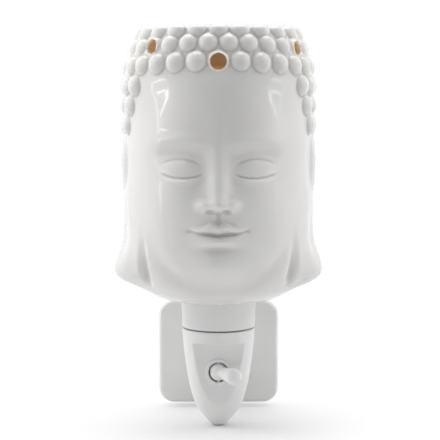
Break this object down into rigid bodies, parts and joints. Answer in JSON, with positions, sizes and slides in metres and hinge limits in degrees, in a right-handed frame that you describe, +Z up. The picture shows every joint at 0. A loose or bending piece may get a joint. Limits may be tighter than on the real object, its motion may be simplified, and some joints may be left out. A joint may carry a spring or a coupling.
{
  "type": "wax melt warmer",
  "caption": "Plug-in wax melt warmer: a glazed ceramic head with rows of curls over a lamp on a mains plug, with a lift-out dish in the crown and a toggle switch below.",
  "frame": {"origin": "centre of the plug's rear face, in the plane of the wall", "axes": "+Y into the wall along the plug's pins, so the front faces -Y; +Z up; +X to the viewer's right"},
  "size_m": [0.0836, 0.1103, 0.1618],
  "materials": {
    "glaze": "gloss",
    "body_plastic": "satin",
    "holder_plastic": "satin",
    "frame_plastic": "satin",
    "sleeve_plastic": "satin",
    "brass": "polished",
    "steel": "satin",
    "nickel": "polished",
    "clear_glass": "clear",
    "black_glass": "gloss",
    "line_insulation": "satin",
    "neutral_insulation": "satin"
  },
  "bodies": {
    "base": {"ceramic_head": "glaze", "shade_ring": "holder_plastic", "lampholder": "holder_plastic", "screw_shell": "brass", "centre_contact": "brass", "front_cover": "body_plastic", "rear_housing": "body_plastic", "pin_plate": "body_plastic", "line_pin": "brass", "neutral_pin": "brass", "line_sleeve": "sleeve_plastic", "neutral_sleeve": "sleeve_plastic", "earth_pin": "sleeve_plastic", "cover_screw": "steel", "plate_screw_left": "steel", "plate_screw_right": "steel", "switch_bezel": "body_plastic", "switch_frame": "frame_plastic", "toggle_pin": "steel", "line_terminal": "brass", "lamp_terminal": "brass", "line_wire": "line_insulation", "lamp_wire": "line_insulation", "neutral_wire": "neutral_insulation"},
    "dish": {"wax_dish": "glaze"},
    "bulb": {"bulb_glass": "clear_glass", "bulb_cap": "nickel", "bulb_insulator": "black_glass", "bulb_contact": "steel", "bulb_stem": "clear_glass", "bulb_filament": "steel"},
    "toggle": {"toggle_lever": "body_plastic", "moving_contact": "brass"}
  },
  "joints": [
    {"name": "switch_toggle", "type": "hinge", "parent": "base", "child": "toggle", "pos_m": [0, -0.0515, -0.0006], "axis": [0, 0, 1], "range_deg": [-60, 0]},
    {"name": "dish_lift", "type": "slide", "parent": "base", "child": "dish", "axis": [0, 0, 1], "range_m": [0, 0.03]},
    {"name": "bulb_unscrew", "type": "hinge", "parent": "base", "child": "bulb", "pos_m": [0, -0.0425, 0.03], "axis": [0, 0, 1], "range_deg": [0, 1080]}
  ]
}
